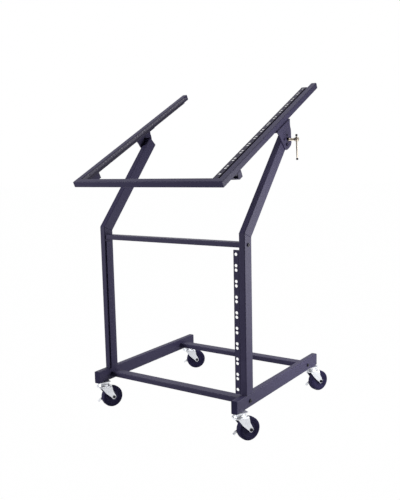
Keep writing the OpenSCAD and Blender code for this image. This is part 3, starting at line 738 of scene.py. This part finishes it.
# Studio in metres and watts: white sweep, soft panels and dark curtains behind the camera
studio = {
    "floorSize": 40,
    "floorGlow": 0.996,
    "floorColour": "#a8a8ae",
    "skyLight": 0.35,
    "panels": {
        "keyPanel": {"place": (0.92, 0.5, 0.46), "aim": (0.1, 0, 0.46), "size": (0.6, 0.7), "watts": 6.0},
        "edgePanel": {"place": (0.66, 0.1, 0.5), "aim": (0.2, 0, 0.5), "size": (0.5, 0.8), "watts": 3.2},
        "topPanel": {"place": (0.4, 0.3, 3.0), "aim": (0, 0.1, 0.6), "size": (1.2, 1.2), "watts": 31},
        "fillPanel": {"place": (-2.1, -2.35, 1.3), "aim": (0, 0, 0.7), "size": (1.0, 1.0), "watts": 74},
    },
    "curtainColour": "#141416",
    "curtains": {
        "frontCurtain": [(-6, -3.4, 0), (6, -3.4, 0), (6, -3.4, 5), (-6, -3.4, 5)],
        "rightCurtain": [(2.4, -3.4, 0), (2.4, 6, 0), (2.4, 6, 4), (2.4, -3.4, 4)],
        "upperCurtain": [(-6, -3.4, 4), (4, -3.4, 4), (4, -0.1, 4), (-6, -0.1, 4)],
    },
}


# 1 for the rays that see the background itself: camera, glossy and transmission rays
def seeingRays(tree):
    path = addNode(tree, "LightPath")
    direct = {0: path.outputs["Is Camera Ray"], 1: path.outputs["Is Glossy Ray"]}
    seen = addNode(tree, "Math", {"operation": "MAXIMUM"}, links=direct)
    through = {0: seen.outputs[0], 1: path.outputs["Is Transmission Ray"]}
    return addNode(tree, "Math", {"operation": "MAXIMUM"}, links=through).outputs[0]


floorMesh = bpy.data.meshes.new("floor")
half = studio["floorSize"] / 2
corners = [(-half, -half, 0), (half, -half, 0), (half, half, 0), (-half, half, 0)]
floorMesh.from_pydata(corners, [], [(0, 1, 2, 3)])
floor = bpy.data.objects.new("floor", floorMesh)
bpy.context.scene.collection.objects.link(floor)
# Paper sweep: glows white to the rays that see it, and is matt grey to the light on the stand
floorPaint, tree = newMaterial("paperSweep")
matt = addNode(tree, "BsdfDiffuse", values={"Color": linearColour(studio["floorColour"])})
glow = addNode(tree, "Emission", values={"Color": (1, 1, 1, 1), "Strength": 1.0})
share = addNode(tree, "Math", {"operation": "MULTIPLY"}, {1: studio["floorGlow"]}, {0: seeingRays(tree)})
blend = addNode(tree, "MixShader", links={0: share.outputs[0], 1: matt.outputs[0], 2: glow.outputs[0]})
addNode(tree, "OutputMaterial", links={"Surface": blend.outputs[0]})
floorMesh.materials.append(floorPaint)

# The curtains take light away from the object and are never in the picture themselves
curtainCloth, tree = newMaterial("blackCurtain")
path = addNode(tree, "LightPath")
matt = addNode(tree, "BsdfDiffuse", values={"Color": linearColour(studio["curtainColour"])})
gone = addNode(tree, "BsdfTransparent")
unseen = {0: path.outputs["Is Camera Ray"], 1: matt.outputs[0], 2: gone.outputs[0]}
blend = addNode(tree, "MixShader", links=unseen)
addNode(tree, "OutputMaterial", links={"Surface": blend.outputs[0]})
for name, corners in studio["curtains"].items():
    sheet = bpy.data.meshes.new(name)
    sheet.from_pydata(corners, [], [(0, 1, 2, 3)])
    sheet.materials.append(curtainCloth)
    curtain = bpy.data.objects.new(name, sheet)
    bpy.context.scene.collection.objects.link(curtain)

world = bpy.data.worlds.new("studio")
bpy.context.scene.world = world
world.use_nodes = True
tree = world.node_tree
tree.nodes.clear()
levels = {"To Min": studio["skyLight"], "To Max": 1.0}
level = addNode(tree, "MapRange", values=levels, links={"Value": seeingRays(tree)})
sky = addNode(tree, "Background", values={"Color": (1, 1, 1, 1)}, links={"Strength": level.outputs[0]})
addNode(tree, "OutputWorld", links={"Surface": sky.outputs[0]})

for name, panel in studio["panels"].items():
    lampData = bpy.data.lights.new(name, "AREA")
    lampData.shape = "RECTANGLE"
    lampData.size, lampData.size_y = panel["size"]
    lampData.energy = panel["watts"]
    lamp = bpy.data.objects.new(name, lampData)
    bpy.context.scene.collection.objects.link(lamp)
    lamp.location = panel["place"]
    lamp.rotation_mode = "QUATERNION"
    lamp.rotation_quaternion = (Vector(panel["aim"]) - Vector(panel["place"])).to_track_quat("-Z", "Y")
print("studio lit")
